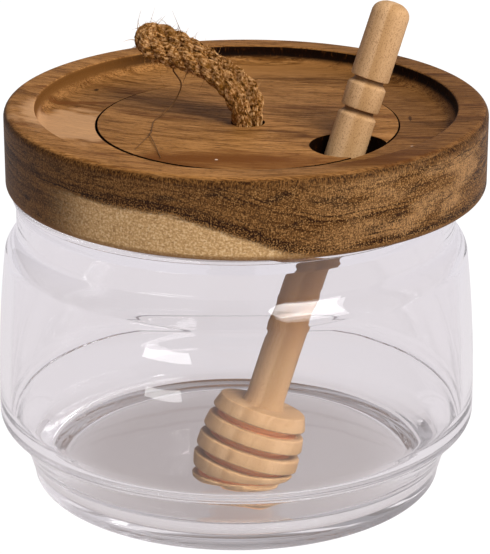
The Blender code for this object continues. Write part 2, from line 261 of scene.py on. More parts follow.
# Patterns in the wood, in millimetres
SIDE_HEIGHT = LID_TOP_Z - LID_LOW_Z
SIDE_FROM = (LID_R - 3.0, LID_R - 1.2)
GRAIN_BEND_X = 20.0            # to the left of here the grain of the lid's top bends
GRAIN_BEND = 0.0038
TOP_PAINTED_SHADE = (-20.0, 50.0)      # from left to right the lid's top gets darker, partly the wood's own tone and partly painted shade
SIDE_RIGHT = (-30.0, 40.0)     # from left to right its side gets more gold and amber, partly the wood's own tone and partly painted light
# where the side's amber turns paler, partly as painted light
SIDE_PALER = (8.0, 42.0)
SAPWOOD_TOP = 10.8             # above the lid's lower edge
SAPWOOD_FALL = (-22.0, 23.0)   # from here to here it sinks to the lower edge
SAPWOOD_LEFT = (-49.0, -33.0)
SAPWOOD_FRONT = (-8.0, -24.0)
CUT_WALL_R = (54.0, 53.0)      # the walls inside here are cut across their fibres
# where painted light falls on the recess walls at the left, across and out from the middle
LIT_WALL_X = (-15.0, -45.0)
LIT_WALL_R = (44.0, 48.0)
PLUG_GRAIN_LIFT = 31.0         # the plug is sawn from another part of the log
PLUG_GRAIN_TURN = -3.0
IN_JAR = (-4.0, -14.0)         # along the dipper, where a painted shade of the lid and the glass begins and then turns amber
# along the dipper, where the amber painted shade fades out further down
AMBER = (-62.0, -40.0)
RING_STAINS_AND_PAINTED_LIGHT = [                # middle, half length and half width, tone, strength
    ((8.0, -43.0, 0.0), (50.0, 9.0), WOOD_RED, 0.85),
    ((5.0, 44.0, 0.0), (30.0, 7.0), WOOD_LIGHT, 0.7),
    ((-38.6, 25.6, 0.0), (0.8, 1.1), WOOD_PORE, 1.0),
    ((40.8, 1.0, 0.0), (0.5, 2.6), WOOD_PORE, 0.75),
    ((-42.0, 14.0, 0.0), (16.0, 1.6), WOOD_RED, 0.8),
    ((39.9, -21.7, 0.0), (0.5, 0.5), WOOD_CHIP, 0.9),
    # partly a lighter board, partly a painted sheen and painted light on the left of the lid's top
    ((-44.0, -6.0, 0.0), (16.0, 16.0), WOOD_PALE, 0.65),
]
PLUG_STAINS_AND_PAINTED_SHADOW = [
    ((-2.0, -31.0, 0.0), (36.0, 9.0), WOOD_RED, 0.7),
    ((-6.0, -29.5, 0.0), (24.0, 3.4), WOOD_RED, 0.85),
    ((-5.9, -30.0, 0.0), (0.5, 0.5), WOOD_CHIP, 0.9),
    # a painted shadow of the rope on the plug's top
    ((-12.0, 8.0, 0.0), (13.0, 3.5), WOOD_DARK, 0.45),
]


# Shared shapes

def arc(centre_r, centre_z, radius, first, last, points):
    """Points of an outline along an arc, angles in degrees from outward towards up."""
    step = (last - first) / (points - 1)
    angles = [math.radians(first + step * i) for i in range(points)]
    return [(centre_r + radius * math.cos(a), centre_z + radius * math.sin(a)) for a in angles]


def clamped(t):
    return min(1.0, max(0.0, t))


def smooth(t):
    """A share of a way, eased in and out."""
    t = clamped(t)
    return t * t * (3 - 2 * t)


def flowing(points, steps):
    """A smooth line through points, with a number of steps between each two."""
    points = [Vector(p) for p in points]
    points = [2 * points[0] - points[1]] + points + [2 * points[-1] - points[-2]]
    line = []
    for a, b, c, d in zip(points, points[1:], points[2:], points[3:]):
        for k in range(steps):
            t = k / steps
            line.append(0.5 * (2 * b + (c - a) * t + (2 * a - 5 * b + 4 * c - d) * t * t
                               + (3 * b - a - 3 * c + d) * t ** 3))
    line.append(points[-2])
    return line


def flowing_outline(points, steps):
    """A smooth line through (radius, height) points."""
    return [(p.x, p.y) for p in flowing(points, steps)]


def start(name, add, **settings):
    """Adds a primitive with nothing else selected."""
    bpy.ops.object.select_all(action="DESELECT")
    add(**settings)
    piece = bpy.context.object
    piece.name = name
    piece.data.name = name
    return piece


def only(piece):
    """Leaves one piece selected."""
    bpy.ops.object.select_all(action="DESELECT")
    piece.select_set(True)
    bpy.context.view_layer.objects.active = piece


def settle(piece, place, lean=(0.0, 0.0, 0.0)):
    """Puts a piece where it belongs and keeps that place in its mesh."""
    only(piece)
    piece.location = Vector(place) * MM
    piece.rotation_mode = "XYZ"
    piece.rotation_euler = lean
    bpy.ops.object.transform_apply(location=True, rotation=True, scale=True)


def turned(name, outline, segments):
    """Draws an outline of (radius, height) points out of one point and spins it about the axis."""
    piece = start(name, bpy.ops.mesh.primitive_plane_add, size=MM)
    bpy.ops.object.mode_set(mode="EDIT")
    bpy.ops.mesh.select_mode(type="VERT")
    bpy.ops.mesh.merge(type="CENTER")
    radius, height = outline[0]
    bpy.ops.transform.translate(value=(radius * MM, 0.0, height * MM))
    for here, there in zip(outline, outline[1:]):
        step = ((there[0] - here[0]) * MM, 0.0, (there[1] - here[1]) * MM)
        bpy.ops.mesh.extrude_vertices_move(TRANSFORM_OT_translate={"value": step})
    bpy.ops.mesh.select_all(action="SELECT")
    bpy.ops.mesh.spin(steps=segments, angle=math.tau, center=(0, 0, 0), axis=(0, 0, 1))
    bpy.ops.mesh.select_all(action="SELECT")
    bpy.ops.mesh.remove_doubles(threshold=0.005 * MM)
    bpy.ops.mesh.normals_make_consistent(inside=False)
    bpy.ops.object.mode_set(mode="OBJECT")
    return piece


def cut_away(piece, cutter):
    """Cuts one piece's shape out of another and throws the cutter away."""
    only(piece)
    tool = piece.modifiers.new("cut", "BOOLEAN")
    tool.operation = "DIFFERENCE"
    tool.solver = "EXACT"
    tool.object = cutter
    bpy.ops.object.modifier_apply(modifier="cut")
    bpy.data.objects.remove(cutter)


def soften(piece, degrees):
    """Smooth shading that stops at edges sharper than an angle."""
    only(piece)
    bpy.ops.object.shade_smooth_by_angle(angle=math.radians(degrees))


def strands(name, lines, sides=1):
    """One mesh of many thin round strands. Each line is a list of (point, radius)."""
    piece = start(name, bpy.ops.curve.primitive_bezier_curve_add)
    curve = piece.data
    curve.splines.clear()
    curve.dimensions = "3D"
    curve.bevel_depth = MM
    curve.bevel_resolution = sides
    curve.use_fill_caps = True
    for line in lines:
        spline = curve.splines.new("POLY")
        spline.points.add(len(line) - 1)
        for knot, (point, radius) in zip(spline.points, line):
            knot.co = (*(point * MM), 1.0)
            knot.radius = radius
    only(piece)
    bpy.ops.object.convert(target="MESH")
    piece = bpy.context.object
    bpy.ops.object.mode_set(mode="EDIT")
    bpy.ops.mesh.select_all(action="SELECT")
    bpy.ops.mesh.remove_doubles(threshold=0.0005 * MM)
    bpy.ops.mesh.normals_make_consistent(inside=False)
    bpy.ops.object.mode_set(mode="OBJECT")
    bpy.ops.object.shade_smooth()
    return piece


def dress(piece, material, node=None):
    """Gives a piece its material, hangs it under the root body and hides the solid of the frame that it
    stands in for, where one is named.
    """
    piece.data.materials.clear()
    piece.data.materials.append(material)
    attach(piece, "root")
    if node:
        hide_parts(node)


# Materials

class Finish:
    """A material that is built up node by node."""

    def __init__(self, name):
        self.material = bpy.data.materials.new(name)
        self.material.use_nodes = True
        self.tree = self.material.node_tree
        self.shader = self.tree.nodes["Principled BSDF"]

    def add(self, kind, inputs=None, **settings):
        node = self.tree.nodes.new("ShaderNode" + kind)
        for key, value in settings.items():
            setattr(node, key, value)
        self.feed(node, inputs or {})
        return node

    def feed(self, node, inputs):
        for key, value in inputs.items():
            if isinstance(value, bpy.types.NodeSocket):
                self.tree.links.new(value, node.inputs[key])
            else:
                node.inputs[key].default_value = value

    def own(self, place, lean=(0.0, 0.0, 0.0)):
        """Coordinates in millimetres from a place on the piece, along its own lean."""
        coordinates = self.add("TexCoord").outputs["Object"]
        settings = {"Vector": coordinates, "Location": Vector(place) * MM}
        settings["Rotation"] = lean
        settings["Scale"] = (MM, MM, MM)
        return self.add("Mapping", settings, vector_type="TEXTURE").outputs["Vector"]

    def split(self, vector):
        node = self.add("SeparateXYZ", {"Vector": vector})
        return node.outputs["X"], node.outputs["Y"], node.outputs["Z"]

    def radius(self, vector):
        """How far a point is from the upright line through the middle of its coordinates."""
        flat = self.add("VectorMath", {0: vector, 1: (1.0, 1.0, 0.0)}, operation="MULTIPLY")
        return self.add("VectorMath", {0: flat.outputs[0]}, operation="LENGTH").outputs["Value"]

    def level(self):
        """0 on an upright wall and 1 on a level face."""
        normal = self.add("TexCoord").outputs["Normal"]
        return self.sum("ABSOLUTE", self.split(normal)[2])

    def noise(self, vector, size, detail=2.0, rough=0.5):
        """Cloudy noise whose spots have a size in millimetres along each axis."""
        stretch = self.add(
            "VectorMath", {0: vector, 1: [1.0 / s for s in size]}, operation="MULTIPLY")
        settings = {"Vector": stretch.outputs[0], "Scale": 1.0, "Detail": detail}
        settings["Roughness"] = rough
        return self.add("TexNoise", settings).outputs["Fac"]

    def layers(self, along, detail=3.0, rough=0.55):
        """Uneven layers along one measure, with about one layer to a unit of it."""
        settings = {"W": along, "Scale": 1.0, "Detail": detail, "Roughness": rough}
        return self.add("TexNoise", settings, noise_dimensions="1D").outputs["Fac"]

    def sum(self, operation, *values):
        """Arithmetic on two or three numbers or sockets."""
        inputs = dict(enumerate(values))
        return self.add("Math", inputs, operation=operation).outputs[0]

    def fade(self, value, low, high, most=1.0):
        """0 below low and most above high, or the other way round where low is the larger."""
        settings = {"Value": value, "From Min": low, "From Max": high, "To Max": most}
        return self.add("MapRange", settings, interpolation_type="SMOOTHSTEP").outputs[0]

    def ramp(self, value, stops):
        """Tones that blend from one (place, tone) to the next."""
        node = self.add("ValToRGB", {"Fac": value})
        marks = node.color_ramp.elements
        while len(marks) < len(stops):
            marks.new(1.0)
        for mark, (place, colour) in zip(marks, stops):
            mark.position = place
            mark.color = (*colour, 1.0)
        return node.outputs["Color"]

    def mix(self, amount, first, second, blend="MIX"):
        node = self.add("Mix", {0: amount}, data_type="RGBA", blend_type=blend)
        self.feed(node, {6: self.colour(first), 7: self.colour(second)})
        return node.outputs[2]

    def colour(self, value):
        return value if isinstance(value, bpy.types.NodeSocket) else (*value, 1.0)

    def bump(self, height, depth, strength):
        settings = {"Height": height, "Strength": strength, "Distance": depth * MM}
        return self.add("Bump", settings).outputs["Normal"]

    def done(self, **sockets):
        """Sets the shader's sockets, an underscore standing for a space in their names."""
        self.feed(self.shader, {key.replace("_", " "): value for key, value in sockets.items()})
        return self.material


def clear_glass():
    """Clear glass with the faint swell of a pressed wall."""
    glass = Finish("clear pressed glass")
    spot = glass.own((JAR_X, 0.0, 0.0))
    swell = glass.noise(spot, (24.0, 24.0, 14.0), detail=1.0)
    return glass.done(
        Base_Color=(*GLASS_TINT, 1.0), Roughness=0.0, IOR=1.5, Transmission_Weight=1.0,
        Normal=glass.bump(swell, 0.12, 0.5))


def acacia(name, place, turn, stains_and_painted_light, lid=False):
    """Oiled acacia: bent growth layers, red streaks, long fibres and short dark pores, under stains and
    painted patches of light and shade.
    """
    wood = Finish(name)
    spot = wood.own(place, (0.0, 0.0, math.radians(turn)))
    x, y, z = wood.split(spot)
    sway = wood.noise(spot, (38.0, 12.0, 9.0), detail=2.5)
    left = wood.sum("MINIMUM", wood.sum("SUBTRACT", x, GRAIN_BEND_X), 0.0)
    bend = wood.sum("MULTIPLY", wood.sum("POWER", left, 2.0), -GRAIN_BEND)
    bent_y = wood.sum("ADD", y, bend)
    flow = wood.add("CombineXYZ", {"X": x, "Y": bent_y, "Z": z}).outputs[0]
    across = wood.sum("MULTIPLY_ADD", bent_y, 0.4, wood.sum("MULTIPLY", z, 0.9))
    layer = wood.sum("MULTIPLY_ADD", sway, 8.0, across)
    bands = wood.layers(wood.sum("MULTIPLY", layer, 0.4), detail=5.0, rough=0.6)
    colour = wood.ramp(
        bands, [(0.3, WOOD_DARK), (0.44, WOOD_MID), (0.56, WOOD_LIGHT), (0.68, WOOD_MID)])
    cloud = wood.noise(flow, (30.0, 9.0, 9.0), detail=2.0)
    colour = wood.mix(wood.fade(cloud, 0.48, 0.66), colour, WOOD_LIGHT)
    red = wood.noise(flow, (44.0, 4.5, 4.0), detail=3.0, rough=0.6)
    colour = wood.mix(wood.fade(red, 0.54, 0.66, 0.8), colour, WOOD_RED)
    fibre = wood.noise(flow, (9.0, 0.34, 0.34), detail=4.0, rough=0.7)
    colour = wood.mix(wood.fade(fibre, 0.48, 0.64, 0.9), colour, WOOD_DARK)
    colour = wood.mix(wood.fade(fibre, 0.5, 0.34, 0.65), colour, WOOD_BRIGHT)
    pore = wood.fade(wood.noise(flow, (1.7, 0.16, 0.16), detail=1.0), 0.59, 0.68)
    colour = wood.mix(wood.sum("MULTIPLY", pore, 0.7), colour, WOOD_PORE)
    for centre, size, tone, strength in stains_and_painted_light:
        colour = wood.mix(stain_and_painted_light(wood, flow, spot, centre, size, strength), colour, tone)
    if lid:
        # painted shade, partly the wood's own tone: the lid's top gets darker to the right
        colour = wood.mix(wood.fade(x, *TOP_PAINTED_SHADE, 0.75), colour, WOOD_PAINTED_SHADE, "MULTIPLY")
        colour = lid_side(wood, spot, colour)
    colour = cut_walls(wood, spot, colour)
    sheen = wood.sum("MULTIPLY_ADD", fibre, 0.25, 0.45)
    relief = wood.sum("SUBTRACT", wood.sum("MULTIPLY", fibre, 0.5), pore)
    return wood.done(
        Base_Color=colour, Roughness=sheen, Specular_IOR_Level=0.08,
        Normal=wood.bump(relief, 0.12, 0.5))


def stain_and_painted_light(wood, flow, spot, centre, size, strength):
    """How strongly a patch shows, for stains and for painted patches of light and shade: full in its
    middle and ragged along the grain.
    """
    length, width = size
    ragged = wood.noise(flow, (length * 0.4 + 0.3, width * 0.25 + 0.1, 2.0), detail=2.0)
    away = wood.add("VectorMath", {0: spot, 1: centre}, operation="SUBTRACT").outputs[0]
    away = wood.add(
        "VectorMath", {0: away, 1: (1 / length, 1 / width, 0.0)}, operation="MULTIPLY").outputs[0]
    reach = wood.add("VectorMath", {0: away}, operation="LENGTH").outputs["Value"]
    reach = wood.sum("MULTIPLY_ADD", wood.sum("SUBTRACT", ragged, 0.5), 1.3, reach)
    return wood.fade(reach, 1.0, 0.55, strength)


def lid_side(wood, spot, colour):
    """The ring's upright side, in the tones that its layers, sapwood and worn edges give it, and partly
    in painted light that makes it paler and more golden to the right.
    """
    x, y, z = wood.split(spot)
    height = wood.sum("ADD", z, SIDE_HEIGHT)
    right = wood.fade(x, *SIDE_RIGHT)
    front = wood.sum("MULTIPLY", wood.fade(x, *SAPWOOD_LEFT), wood.fade(y, *SAPWOOD_FRONT))
    wander = wood.noise(spot, (15.0, 15.0, 2.5), detail=3.0, rough=0.6)
    layer = wood.sum("ADD", height, wood.fade(x, *SAPWOOD_FALL, SAPWOOD_TOP))
    layer = wood.sum("MULTIPLY_ADD", wander, 3.4, wood.sum("SUBTRACT", layer, 1.7))
    grit = wood.noise(spot, (0.34, 0.34, 0.34), detail=1.5)
    body = side_layers(wood, spot, layer, x, right)
    body = side_specks(wood, spot, body, grit, right)
    body = side_sapwood(wood, spot, body, layer, grit, front)
    body = side_edges(wood, spot, body, height, right, front)
    outer = wood.fade(wood.radius(spot), *SIDE_FROM)
    side = wood.sum("MULTIPLY", wood.fade(wood.level(), 0.9, 0.6), outer)
    return wood.mix(side, colour, body)


def side_layers(wood, spot, layer, x, right):
    """Sinking growth layers, amber and dark clouds, the amber stronger and paler to the right partly as
    painted light, and thin dark lines between some layers.
    """
    bands = wood.layers(wood.sum("MULTIPLY", layer, 0.42), detail=5.0, rough=0.6)
    body = wood.ramp(
        bands, [(0.3, SIDE_DARK), (0.42, SIDE_BROWN), (0.54, SIDE_MID), (0.7, SIDE_BROWN)])
    patch = wood.noise(spot, (16.0, 16.0, 4.0), detail=2.5)
    # partly painted light: the amber clouds grow stronger and paler to the right
    warm = wood.sum("MULTIPLY_ADD", right, 0.55, 0.3)
    amber = wood.sum("MULTIPLY", wood.fade(patch, 0.42, 0.6), warm)
    body = wood.mix(amber, body, wood.mix(wood.fade(x, *SIDE_PALER), SIDE_MID, SIDE_PALE))
    gloom = wood.noise(spot, (9.0, 9.0, 3.0), detail=3.0, rough=0.6)
    body = wood.mix(wood.fade(gloom, 0.55, 0.7, 0.7), body, SIDE_DARK)
    lines = wood.layers(wood.sum("MULTIPLY", layer, 1.3), detail=2.0)
    faint = wood.noise(spot, (20.0, 20.0, 3.0))
    line = wood.sum("MULTIPLY", wood.fade(lines, 0.58, 0.66), wood.fade(faint, 0.4, 0.58, 0.85))
    return wood.mix(line, body, SIDE_DARK)


def side_specks(wood, spot, body, grit, right):
    """Gold and dark specks, and short upright dark strokes."""
    # partly painted light: more gold specks to the right
    gold = wood.sum("MULTIPLY_ADD", right, 0.4, 0.3)
    body = wood.mix(wood.sum("MULTIPLY", wood.fade(grit, 0.53, 0.68), gold), body, SIDE_GOLD)
    body = wood.mix(wood.fade(grit, 0.5, 0.38, 0.6), body, SIDE_DARK)
    hatch = wood.noise(spot, (0.3, 0.3, 2.4), detail=1.0)
    return wood.mix(wood.fade(hatch, 0.55, 0.68, 0.35), body, SIDE_DARK)


def side_sapwood(wood, spot, body, layer, grit, front):
    """The pale patch of sapwood at the front left, with a ragged dark brink."""
    fleck = wood.noise(spot, (1.3, 1.3, 0.22), detail=2.0)
    pale = wood.mix(wood.fade(fleck, 0.52, 0.72, 0.6), SAPWOOD, SAPWOOD_FLECK)
    mottle = wood.noise(spot, (0.5, 0.5, 0.5), detail=2.0)
    pale = wood.mix(wood.fade(mottle, 0.45, 0.7, 0.5), pale, SAPWOOD_FLECK)
    pale = wood.mix(wood.fade(mottle, 0.48, 0.34, 0.6), pale, SAPWOOD_CHIP)
    ragged = wood.sum("MULTIPLY_ADD", grit, 2.4, layer)
    sap = wood.fade(ragged, SAPWOOD_TOP + 1.9, SAPWOOD_TOP + 0.5)
    body = wood.mix(wood.sum("MULTIPLY", sap, front), body, pale)
    off_brink = wood.sum("ABSOLUTE", wood.sum("SUBTRACT", layer, SAPWOOD_TOP + 1.0))
    brink = wood.sum("MULTIPLY", wood.fade(off_brink, 2.2, 0.5, 0.85), front)
    brink = wood.sum("MULTIPLY", brink, wood.fade(grit, 0.56, 0.4))
    return wood.mix(brink, body, SIDE_DARK)


def side_edges(wood, spot, body, height, right, front):
    """Torn fibres under the upper edge, long dark streaks, and a lighter lower edge."""
    stroke = wood.noise(spot, (0.35, 0.35, 1.4), detail=1.5)
    torn = wood.ramp(stroke, [(0.38, SIDE_DARK), (0.5, SIDE_BROWN), (0.64, SIDE_MID)])
    body = wood.mix(wood.fade(height, SIDE_HEIGHT - 3.0, SIDE_HEIGHT - 1.4, 0.7), body, torn)
    streak = wood.noise(spot, (12.0, 12.0, 0.7), detail=4.0, rough=0.65)
    strong = wood.sum("MULTIPLY_ADD", right, 0.6, 0.2)
    streak = wood.sum("MULTIPLY", wood.fade(streak, 0.48, 0.6), strong)
    body = wood.mix(wood.sum("MULTIPLY", streak, wood.sum("SUBTRACT", 1.0, front)), body, SIDE_DARK)
    foot = wood.fade(height, LID_LOW_ROUND + 0.2, LID_LOW_ROUND - 0.3, 0.6)
    return wood.mix(foot, body, SIDE_MID)


def cut_walls(wood, spot, colour):
    """Upright cut faces inside the lid, dark where the ends of the fibres drank more oil and partly in
    painted shade, with painted light on the walls at the left.
    """
    x = wood.split(spot)[0]
    radius = wood.radius(spot)
    stroke = wood.noise(spot, (0.6, 0.6, 1.8), detail=2.0)
    torn = wood.ramp(stroke, [(0.48, WALL_DARK), (0.62, SIDE_DARK), (0.76, SIDE_BROWN)])
    wall = wood.sum("MULTIPLY", wood.fade(wood.level(), 0.75, 0.35), wood.fade(radius, *CUT_WALL_R))
    # painted light on the walls at the left, over a dark tone that is partly painted shade
    lit = wood.sum("MULTIPLY", wood.fade(x, *LIT_WALL_X), wood.fade(radius, *LIT_WALL_R, 0.75))
    return wood.mix(wall, colour, wood.mix(lit, torn, WOOD_MID))


def beech():
    """Bare turned beech: faint bands along the axis, fine flecks, grooves browned by the tool, painted
    shade of the lid and the glass down the part in the jar, and painted light in the head's grooves.
    """
    wood = Finish("turned beech")
    spot = wood.own(DIPPER_AT, lean_of(DIPPER_LEAN))
    x, y, z = wood.split(spot)
    drift = wood.noise(spot, (6.0, 6.0, 70.0))
    layer = wood.sum("MULTIPLY_ADD", drift, 4.0, wood.sum("MULTIPLY_ADD", y, 0.4, x))
    bands = wood.layers(wood.sum("MULTIPLY", layer, 0.35))
    colour = wood.ramp(bands, [(0.3, BEECH_DARK), (0.5, BEECH_MID), (0.7, BEECH_LIGHT)])
    # painted shade of the lid and the glass, darker and then amber down the part in the jar
    inside = wood.fade(z, *IN_JAR)
    colour = wood.mix(inside, colour, BEECH_PAINTED_LID_SHADE, "MULTIPLY")
    amber = wood.sum("MULTIPLY", wood.fade(z, *AMBER), inside)
    colour = wood.mix(amber, colour, BEECH_PAINTED_AMBER_SHADE, "MULTIPLY")
    fleck = wood.noise(spot, (0.28, 0.28, 0.42), detail=2.0)
    colour = wood.mix(wood.fade(fleck, 0.5, 0.68, 0.6), colour, BEECH_FLECK)
    radius = wood.radius(spot)
    deep = wood.fade(radius, SHAFT_R - 0.35, SHAFT_R - GROOVE_DEPTH + 0.15, 0.7)
    deep = wood.sum("MULTIPLY", deep, wood.fade(z, TIP_S - 5.0, TIP_S - 8.0))
    colour = wood.mix(deep, colour, BEECH_BURN)
    # painted light in the grooves between the head's rings, over their own brown
    between = wood.fade(radius, HEAD_TOP_R - 0.2, CORE_R + 1.2)
    between = wood.sum("MULTIPLY", between, wood.fade(z, HEAD_TOP_S - 0.8, HEAD_TOP_S - 1.4))
    colour = wood.mix(between, colour, BEECH_GROOVE_PAINTED_LIGHT)
    return wood.done(
        Base_Color=colour, Roughness=0.6, Specular_IOR_Level=0.15, Normal=wood.bump(fleck, 0.06, 0.4))


def jute():
    """Dry jute whose tone changes from fibre to fibre, with golden stretches."""
    rope = Finish("hairy jute")
    spot = rope.own((0.0, 0.0, 0.0))
    tone = rope.noise(spot, (0.9, 0.9, 0.9), detail=3.0, rough=0.65)
    colour = rope.ramp(tone, [(0.34, JUTE_DARK), (0.47, JUTE_MID), (0.64, JUTE_LIGHT)])
    wide = rope.noise(spot, (3.5, 3.5, 3.5), detail=2.0)
    colour = rope.mix(rope.fade(wide, 0.5, 0.68, 0.6), colour, JUTE_GOLD)
    return rope.done(Base_Color=colour, Roughness=0.8, Specular_IOR_Level=0.1)


def white_glow(name, strength):
    """A white that shines and takes no light, for stage pieces."""
    paper = Finish(name)
    return paper.done(
        Base_Color=(*BLACK, 1.0), Emission_Color=(*WHITE, 1.0), Emission_Strength=strength)


# Pieces

def body_radius(z):
    """Outer radius of the jar's body, its shoulder and its neck at a height, one smooth line."""
    t = (z - BODY_BASE_Z) / (SHOULDER_Z - BODY_BASE_Z)
    body = BODY_R - (BODY_R - SHOULDER_R) * t * t
    rise = clamped((z - SHOULDER_Z) / (NECK_Z - SHOULDER_Z))
    blend = rise ** 3 * (10 - 15 * rise + 6 * rise * rise)
    return body + (NECK_R - body) * blend


def jar_outline():
    """Down the outside from the lip, across the underside, and up the inside."""
    lip_z = LIP_TOP_Z - LIP_ROUND
    shoulder = NECK_Z - SHOULDER_Z
    body = SHOULDER_Z - BODY_BASE_Z
    heights = [NECK_Z - shoulder * i / SHOULDER_STEPS for i in range(SHOULDER_STEPS)]
    heights += [SHOULDER_Z - body * i / BODY_STEPS for i in range(BODY_STEPS)]
    outside = arc(LIP_R - LIP_ROUND, lip_z, LIP_ROUND, 90, 0, 10)
    outside += flowing_outline(
        [(LIP_R, lip_z), (LIP_R - 0.16, COLLAR_Z + 2.6), (NECK_R + 0.42, COLLAR_Z + 1.2),
         (NECK_R + 0.06, COLLAR_Z), (NECK_R, COLLAR_Z - 0.7), (NECK_R, NECK_Z + 0.4)], 5)
    outside += [(body_radius(z), z) for z in heights]
    outside += arc(BODY_R - CORNER_ROUND, STEP_Z + CORNER_ROUND, CORNER_ROUND, 0, -76, 12)
    outside += flowing_outline(
        [(FOOT_TOP_R + 0.5, STEP_Z - 0.15), (FOOT_TOP_R, STEP_Z - 0.9),
         (FOOT_TOP_R - 1.3, STEP_Z - 3.4), (FOOT_WAIST_R, FOOT_WAIST_Z),
         (FOOT_LOW_R + 0.25, FOOT_ROUND + 1.4)], 5)
    outside += arc(FOOT_LOW_R - FOOT_ROUND, FOOT_ROUND, FOOT_ROUND, 0, -90, 8)
    outside += flowing_outline([(CONTACT_R, 0.0), (PUNT_R, PUNT_RISE), (PUNT_R - 4.0, PUNT_RISE)], 4)
    outside += [(0.0, PUNT_RISE)]
    inside = [(0.0, FLOOR_Z)]
    inside += arc(FLOOR_R, FLOOR_Z + FLOOR_FILLET, FLOOR_FILLET, -90, -25, 12)
    inside += flowing_outline(
        [(FOOT_WAIST_R - WALL, FOOT_WAIST_Z + 1.0), (FOOT_TOP_R - WALL, STEP_Z - 0.3),
         (BODY_R - WALL - 0.9, STEP_Z + 2.2), (BODY_R - WALL, BODY_BASE_Z + 2.0)], 5)
    upper_part = [z for z in reversed(heights) if z > BODY_BASE_Z + 3.0]
    inside += [(body_radius(z + INNER_DROP) - WALL, z) for z in upper_part]
    inside += [(NECK_R - WALL, NECK_Z + 1.0), (NECK_R - WALL, COLLAR_Z)]
    inside += arc(LIP_R - LIP_ROUND, lip_z, LIP_ROUND, 180, 90, 10)
    return outside + inside


def make_jar():
    """The glass. Its shadow is left to the tones of the table under it."""
    jar = turned("jar", jar_outline(), ROUND_SEGMENTS)
    settle(jar, (JAR_X, 0.0, 0.0))
    only(jar)
    bpy.ops.object.shade_smooth()
    jar.visible_shadow = False
    dress(jar, clear_glass(), "glass_jar")


def ring_outline():
    """From the middle of the recess over the rim to the underside and its boss."""
    points = [(0.0, RECESS_Z)]
    points += arc(RIM_INNER_R - RECESS_FILLET, RECESS_Z + RECESS_FILLET, RECESS_FILLET, -90, 0, 12)
    points += arc(
        RIM_INNER_R + RIM_INNER_ROUND, LID_TOP_Z - RIM_INNER_ROUND, RIM_INNER_ROUND, 180, 90, 5)
    points += arc(LID_R - LID_TOP_ROUND, LID_TOP_Z - LID_TOP_ROUND, LID_TOP_ROUND, 90, 0, 12)
    points += arc(LID_R - LID_LOW_ROUND, LID_LOW_Z + LID_LOW_ROUND, LID_LOW_ROUND, 0, -90, 9)
    points += [(SPIGOT_R, LID_LOW_Z), (SPIGOT_R, SPIGOT_LOW_Z + SPIGOT_CHAMFER)]
    points += [(SPIGOT_R - SPIGOT_CHAMFER, SPIGOT_LOW_Z), (0.0, SPIGOT_LOW_Z)]
    return points


def hole_outline():
    """The plug's well with a rubbed upper edge, and the narrower hole on through."""
    above = LID_TOP_Z + CUT_PAST
    below = SPIGOT_LOW_Z - CUT_PAST
    flare = above - RECESS_Z
    return [
        (0.0, above), (HOLE_R + flare + EDGE_BREAK, above), (HOLE_R, RECESS_Z - EDGE_BREAK),
        (HOLE_R, SEAT_Z), (LEDGE_R, SEAT_Z), (LEDGE_R, below), (0.0, below),
    ]


def make_ring():
    """The lid: a turned disc with a sunk top, cut through for its plug."""
    ring = turned("lid", ring_outline(), ROUND_SEGMENTS)
    settle(ring, (LID_X, 0.0, 0.0))
    hole = turned("hole", hole_outline(), ROUND_SEGMENTS)
    settle(hole, (*HOLE_AT, 0.0))
    cut_away(ring, hole)
    soften(ring, SAWN_ANGLE)
    finish = acacia("oiled acacia ring", (LID_X, 0.0, LID_TOP_Z), 0.0, RING_STAINS_AND_PAINTED_LIGHT, lid=True)
    dress(ring, finish, "lid_ring")


def make_plug():
    """The plug, with the notch for the dipper and the hole for the rope."""
    outline = [(0.0, RECESS_Z)]
    edge = PLUG_R + PLUG_SNUG - EDGE_BREAK
    outline += arc(edge, RECESS_Z - EDGE_BREAK, EDGE_BREAK, 90, 0, 4)
    outline += arc(edge, PLUG_LOW_Z + EDGE_BREAK, EDGE_BREAK, 0, -90, 4)
    outline += [(0.0, PLUG_LOW_Z)]
    plug = turned("plug", outline, ROUND_SEGMENTS)
    settle(plug, (PLUG_AT.x, PLUG_AT.y, 0.0))
    top = RECESS_Z + CUT_PAST
    low = PLUG_LOW_Z - CUT_PAST
    for radius, at in ((NOTCH_R, NOTCH_AT), (CORD_HOLE_R, (PLUG_AT.x, PLUG_AT.y))):
        sides = [
            (0.0, top), (radius + CUT_PAST + EDGE_BREAK, top), (radius, RECESS_Z - EDGE_BREAK),
            (radius, low), (0.0, low),
        ]
        bore = turned("bore", sides, ROUND_SEGMENTS // 2)
        settle(bore, (*at, 0.0))
        cut_away(plug, bore)
    soften(plug, SAWN_ANGLE)
    grain_at = (PLUG_AT.x, PLUG_AT.y, RECESS_Z + PLUG_GRAIN_LIFT)
    finish = acacia("oiled acacia plug", grain_at, PLUG_GRAIN_TURN, PLUG_STAINS_AND_PAINTED_SHADOW)
    dress(plug, finish, "lid_plug")


def lean_of(direction):
    """The turn that lays an upright piece along a direction."""
    return direction.to_track_quat("Z", "Y").to_euler("XYZ")


def head_radius(s):
    """The barrel outline of the dipper's head at a place along its axis."""
    if s > HEAD_WIDE_S:
        t = (s - HEAD_WIDE_S) / (HEAD_TOP_S - HEAD_WIDE_S)
        return HEAD_WIDE_R - (HEAD_WIDE_R - HEAD_TOP_R) * t * t
    last_top = HEAD_TOP_S - (HEAD_RINGS - 1) * RING_PITCH
    t = (s - HEAD_WIDE_S) / (last_top - HEAD_WIDE_S)
    return HEAD_WIDE_R - (HEAD_WIDE_R - HEAD_END_R) * t * t


def shaft_groove(top):
    """A groove with a square upper side and a sloping lower side."""
    deep = SHAFT_R - GROOVE_DEPTH
    return [
        (SHAFT_R - 0.12, top + 0.1), (SHAFT_R - 0.3, top), (deep + 0.2, top - 0.1), (deep, top - 0.3),
        (deep + 0.05, top - 0.8), (SHAFT_R - 0.25, top - GROOVE_WIDTH + 0.15),
        (SHAFT_R - 0.05, top - GROOVE_WIDTH - 0.05), (SHAFT_R, top - GROOVE_WIDTH - 0.3),
    ]


